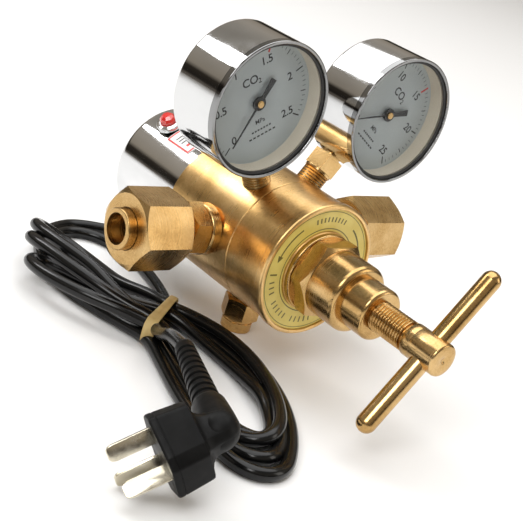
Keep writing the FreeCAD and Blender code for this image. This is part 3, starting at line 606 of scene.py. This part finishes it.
def make_lens():
    """Cut lamp lens with eight facets."""
    turn = math.radians(-34)
    out = Vector((math.sin(turn), 0, math.cos(turn)))
    matrix = placed((0, 61, 0), Vector((0, -1, 0)).cross(out), (0, -1, 0))
    outline = [(0, 30.2), (2.25, 30.2), (2.25, 33.07), (4.15, 33.07), (4.15, 35.4), (3.5, 36.8), (2.2, 38.0),
               (0, 38.15)]
    lens = piece("lamp_facets", lathe("lens", outline, matrix, 8), LAMP, "regulator", 15)
    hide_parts("lamp_lens")


# -------------------------------------------------------------------- prints

def ink_quad(bm, corners, lift):
    bm.faces.new([bm.verts.new((x, y, lift)) for x, y in corners])


def ink_bar(bm, start, end, width, lift=0.0):
    start, end = Vector(start), Vector(end)
    side = (end - start).normalized()
    side = Vector((-side.y, side.x)) * width / 2
    ink_quad(bm, [start + side, start - side, end - side, end + side], lift)


def ink_ray(bm, angle, inner, outer, width, lift=0.0):
    ray = Vector((math.cos(angle), math.sin(angle)))
    ink_bar(bm, ray * inner, ray * outer, width, lift)


def ink_arc(bm, radius, width, first, last, lift=0.0):
    steps = max(3, int(abs(last - first) / 0.05))
    for k in range(steps):
        a = first + (last - first) * k / steps
        b = first + (last - first) * (k + 1) / steps
        corners = [(r * math.cos(t), r * math.sin(t))
                   for r, t in ((radius - width / 2, a), (radius + width / 2, a),
                                (radius + width / 2, b), (radius - width / 2, b))]
        ink_quad(bm, corners, lift)


def ink_text(bm, words, x, y, size, lift=0.0):
    curve = bpy.data.curves.new("words", "FONT")
    curve.body = words
    curve.size = size
    curve.offset = 0.016 * size
    curve.align_x = "CENTER"
    curve.align_y = "CENTER"
    maker = bpy.data.objects.new("words", curve)
    bpy.context.scene.collection.objects.link(maker)
    graph = bpy.context.evaluated_depsgraph_get()
    mesh = bpy.data.meshes.new_from_object(maker.evaluated_get(graph))
    mesh.transform(Matrix.Translation((x, y, lift)))
    bm.from_mesh(mesh)
    bpy.data.meshes.remove(mesh)
    bpy.data.objects.remove(maker)


def dial_angle(share):
    return math.radians(DIAL_START - DIAL_SWEEP * share)


def make_dial_print(name, side, numbers, red_at):
    black = bmesh.new()
    for k in range(51):
        angle = dial_angle(k / 50)
        if k % 10 == 0:
            ink_ray(black, angle, 22.4, TICK_END, 0.6)
        elif k % 5 == 0:
            ink_ray(black, angle, 23.6, TICK_END, 0.42)
        else:
            ink_ray(black, angle, 24.6, TICK_END, 0.26)
    for k, number in enumerate(numbers):
        angle = dial_angle(k / 5)
        ink_text(black, number, NUMBER_R * math.cos(angle), NUMBER_R * math.sin(angle) - 0.2, 5.2)
    ink_text(black, "CO", -1.6, 10.8, 5.4)
    ink_text(black, "2", 3.2, 9.2, 3.2)
    ink_text(black, "MPa", 0, -9.4, 3.0)
    for y, half in ((-13.4, 5.4), (-16.2, 7.4)):
        for k in range(7):
            x = -half + 2 * half * (k + 0.5) / 7
            ink_bar(black, (x - half / 11, y), (x + half / 11, y), 0.8)
    out = gauge_frame(side) @ Matrix.Translation((0, 0, DIAL_FACE))
    piece(name + "dial_print", to_mesh("print", black, out), INK_BLACK, "regulator")
    red = bmesh.new()
    ink_ray(red, dial_angle(red_at), 22.0, 26.6, 0.9, 0.03)
    piece(name + "dial_red_mark", to_mesh("mark", red, out), INK_RED, "regulator")


def make_window_seal(name, side):
    """Dark ring that beds the window in its bezel."""
    outline = [(27.7, 26.72), (28.98, 26.72), (28.98, 27.35), (28.6, 27.5), (27.9, 27.2)]
    mesh = lathe("seal", outline, gauge_frame(side), 128, closed=True)
    piece(name + "window_seal", mesh, SEAL, "regulator")


def make_ring_print():
    """Plain dashes round the yellow ring, with turning arrows, plus and minus."""
    ink = bmesh.new()
    for radius, width in ((20.6, 0.45), (28.9, 0.3)):
        ink_arc(ink, radius, width, 0, 2 * math.pi)
    for first, sign in ((math.radians(52), 1), (math.radians(128), -1)):
        ink_arc(ink, RING_R, 0.8, first, first + sign * -0.62)
        tip = first - sign * 0.62
        ray = Vector((math.cos(tip), math.sin(tip)))
        turn = Vector((ray.y, -ray.x)) * sign
        ink_quad(ink, [ray * 23.4, ray * 26.6, ray * RING_R + turn * 3.2], 0)
    for angle, upright in ((math.radians(-4), True), (math.radians(184), False)):
        centre = Vector((RING_R * math.cos(angle), RING_R * math.sin(angle)))
        ink_bar(ink, centre - Vector((2, 0)), centre + Vector((2, 0)), 0.8)
        if upright:
            ink_bar(ink, centre - Vector((0, 2)), centre + Vector((0, 2)), 0.8, 0.01)
    for k in range(25):
        angle = math.radians(-167 + 154 * k / 24)
        if k % 6 != 3:
            ink_ray(ink, angle, 23.6, 26.4, 0.75)
    for k in range(9):
        angle = math.radians(70 + 40 * k / 8)
        ink_ray(ink, angle, 23.8, 26.2, 0.8)
    out = FORWARD @ Matrix.Translation((0, 0, RING_FACE))
    piece("label_ring_print", to_mesh("print", ink, out), INK_DARK, "regulator")


def can_point(turn, y):
    angle = math.radians(turn)
    return row(CAN_LABEL_R * math.sin(angle), y, CAN_LABEL_R * math.cos(angle))


def can_patch(bm, turns, ys):
    steps = max(1, round(abs(turns[1] - turns[0]) / 2))
    for k in range(steps):
        a = turns[0] + (turns[1] - turns[0]) * k / steps
        b = turns[0] + (turns[1] - turns[0]) * (k + 1) / steps
        bm.faces.new([bm.verts.new(can_point(t, y)) for t, y in
                      ((a, ys[0]), (b, ys[0]), (b, ys[1]), (a, ys[1]))])


def make_can_print():
    """Red border and plain marks on the can's label."""
    red = bmesh.new()
    for turns, ys in (((-46.4, -18.6), (36.4, 37.3)), ((-46.4, -18.6), (52.7, 53.6)),
                      ((-46.4, -44.8), (37.3, 52.7)), ((-20.2, -18.6), (37.3, 52.7)),
                      ((-41, -33), (40.2, 41.8)), ((-30, -24), (40.2, 41.8))):
        can_patch(red, turns, ys)
    piece("can_label_border", to_mesh("print", red), INK_RED, "regulator")
    black = bmesh.new()
    for turns, ys in (((-42, -24), (44.2, 44.9)), ((-42, -27), (46.4, 47.1)), ((-42, -31), (48.6, 49.3))):
        can_patch(black, turns, ys)
    piece("can_label_lines", to_mesh("print", black), INK_BLACK, "regulator")


cord = make_cord()
plug = make_plug()
pins = make_pins()
band = make_band()
make_gland()
make_screw()
make_lens()
make_dial_print("low_gauge_", -1, ("0", "0.5", "1", "1.5", "2", "2.5"), 0.6)
make_dial_print("high_gauge_", 1, ("0", "5", "10", "15", "20", "25"), 0.6)
make_window_seal("low_gauge_", -1)
make_window_seal("high_gauge_", 1)
make_ring_print()
make_can_print()


# ------------------------------------------------------- floor, light, camera

def make_floor():
    bm = bmesh.new()
    bmesh.ops.create_grid(bm, x_segments=1, y_segments=1, size=4.0)
    mesh = to_mesh("floor", bm, Matrix.Translation((0, 0, FLOOR * MM)))
    paper = Finish("floor_paper", (0.93, 0.93, 0.93), 0.6)
    paper.bump(paper.noise(300.0), 0.00002)
    floor = bpy.data.objects.new("floor", mesh)
    mesh.materials.append(paper.material)
    bpy.context.scene.collection.objects.link(floor)


def make_light(name, place, target, size, power, colour=(1, 1, 1)):
    light = bpy.data.lights.new(name, "AREA")
    light.shape = "RECTANGLE"
    light.size, light.size_y = size
    light.energy = power
    light.color = colour
    lamp = bpy.data.objects.new(name, light)
    lamp.location = place
    aim = Vector(target) - Vector(place)
    lamp.rotation_euler = aim.to_track_quat("-Z", "Y").to_euler()
    bpy.context.scene.collection.objects.link(lamp)


def make_world():
    """A plain studio round the object: pale walls, a darker band low down and a warm wall."""
    world = bpy.data.worlds.new("studio")
    bpy.context.scene.world = world
    world.use_nodes = True
    tree = world.node_tree
    back = tree.nodes["Background"]
    place = tree.nodes.new("ShaderNodeTexCoord").outputs["Generated"]
    split = tree.nodes.new("ShaderNodeSeparateXYZ")
    tree.links.new(place, split.inputs[0])
    height = tree.nodes.new("ShaderNodeValToRGB")
    tree.links.new(split.outputs["Z"], height.inputs[0])
    ramp = height.color_ramp
    for at, colour in ((0.05, (0.03, 0.025, 0.02, 1)), (0.16, (0.05, 0.04, 0.03, 1)),
                       (0.24, (0.50, 0.43, 0.34, 1)), (0.45, (0.62, 0.55, 0.46, 1)),
                       (0.60, (0.54, 0.49, 0.42, 1)), (0.75, (0.44, 0.40, 0.34, 1))):
        element = ramp.elements.new(at)
        element.color = colour
    ramp.elements[0].color = (0.20, 0.17, 0.14, 1)
    ramp.elements[-1].color = (0.5, 0.5, 0.5, 1)
    tree.links.new(height.outputs[0], back.inputs["Color"])
    back.inputs["Strength"].default_value = 0.6


def make_camera():
    camera = bpy.data.cameras.new("camera")
    camera.lens = 83.6
    camera.sensor_width = 36
    camera.clip_start = 0.01
    holder = bpy.data.objects.new("camera", camera)
    right = Vector((0.74078, -0.60687, 0.28802))
    up = Vector((0.02109, 0.44956, 0.893))
    right.normalize()
    back = right.cross(up).normalized()
    up = back.cross(right)
    place = Matrix((right, up, back)).transposed().to_4x4()
    place.translation = (-0.45667, -0.38306, 0.18478)
    holder.matrix_world = place
    bpy.context.scene.collection.objects.link(holder)
    bpy.context.scene.camera = holder


make_floor()
make_world()
MIDDLE = (-0.08, 0.0, 0.02)
make_light("top", (0.1, 0.5, 1.9), (0.1, 0.5, 0), (2.6, 2.6), 47)
make_light("key", (-1.1, -0.5, 0.9), MIDDLE, (0.7, 0.5), 7)
make_light("strip", (-0.53, 0.85, 0.89), MIDDLE, (0.3, 0.5), 3.5)
make_light("fill", (0.8, -1.0, 0.5), MIDDLE, (0.5, 0.8), 2.5, (1, 0.96, 0.9))
make_camera()
bpy.context.scene.view_settings.view_transform = "Standard"
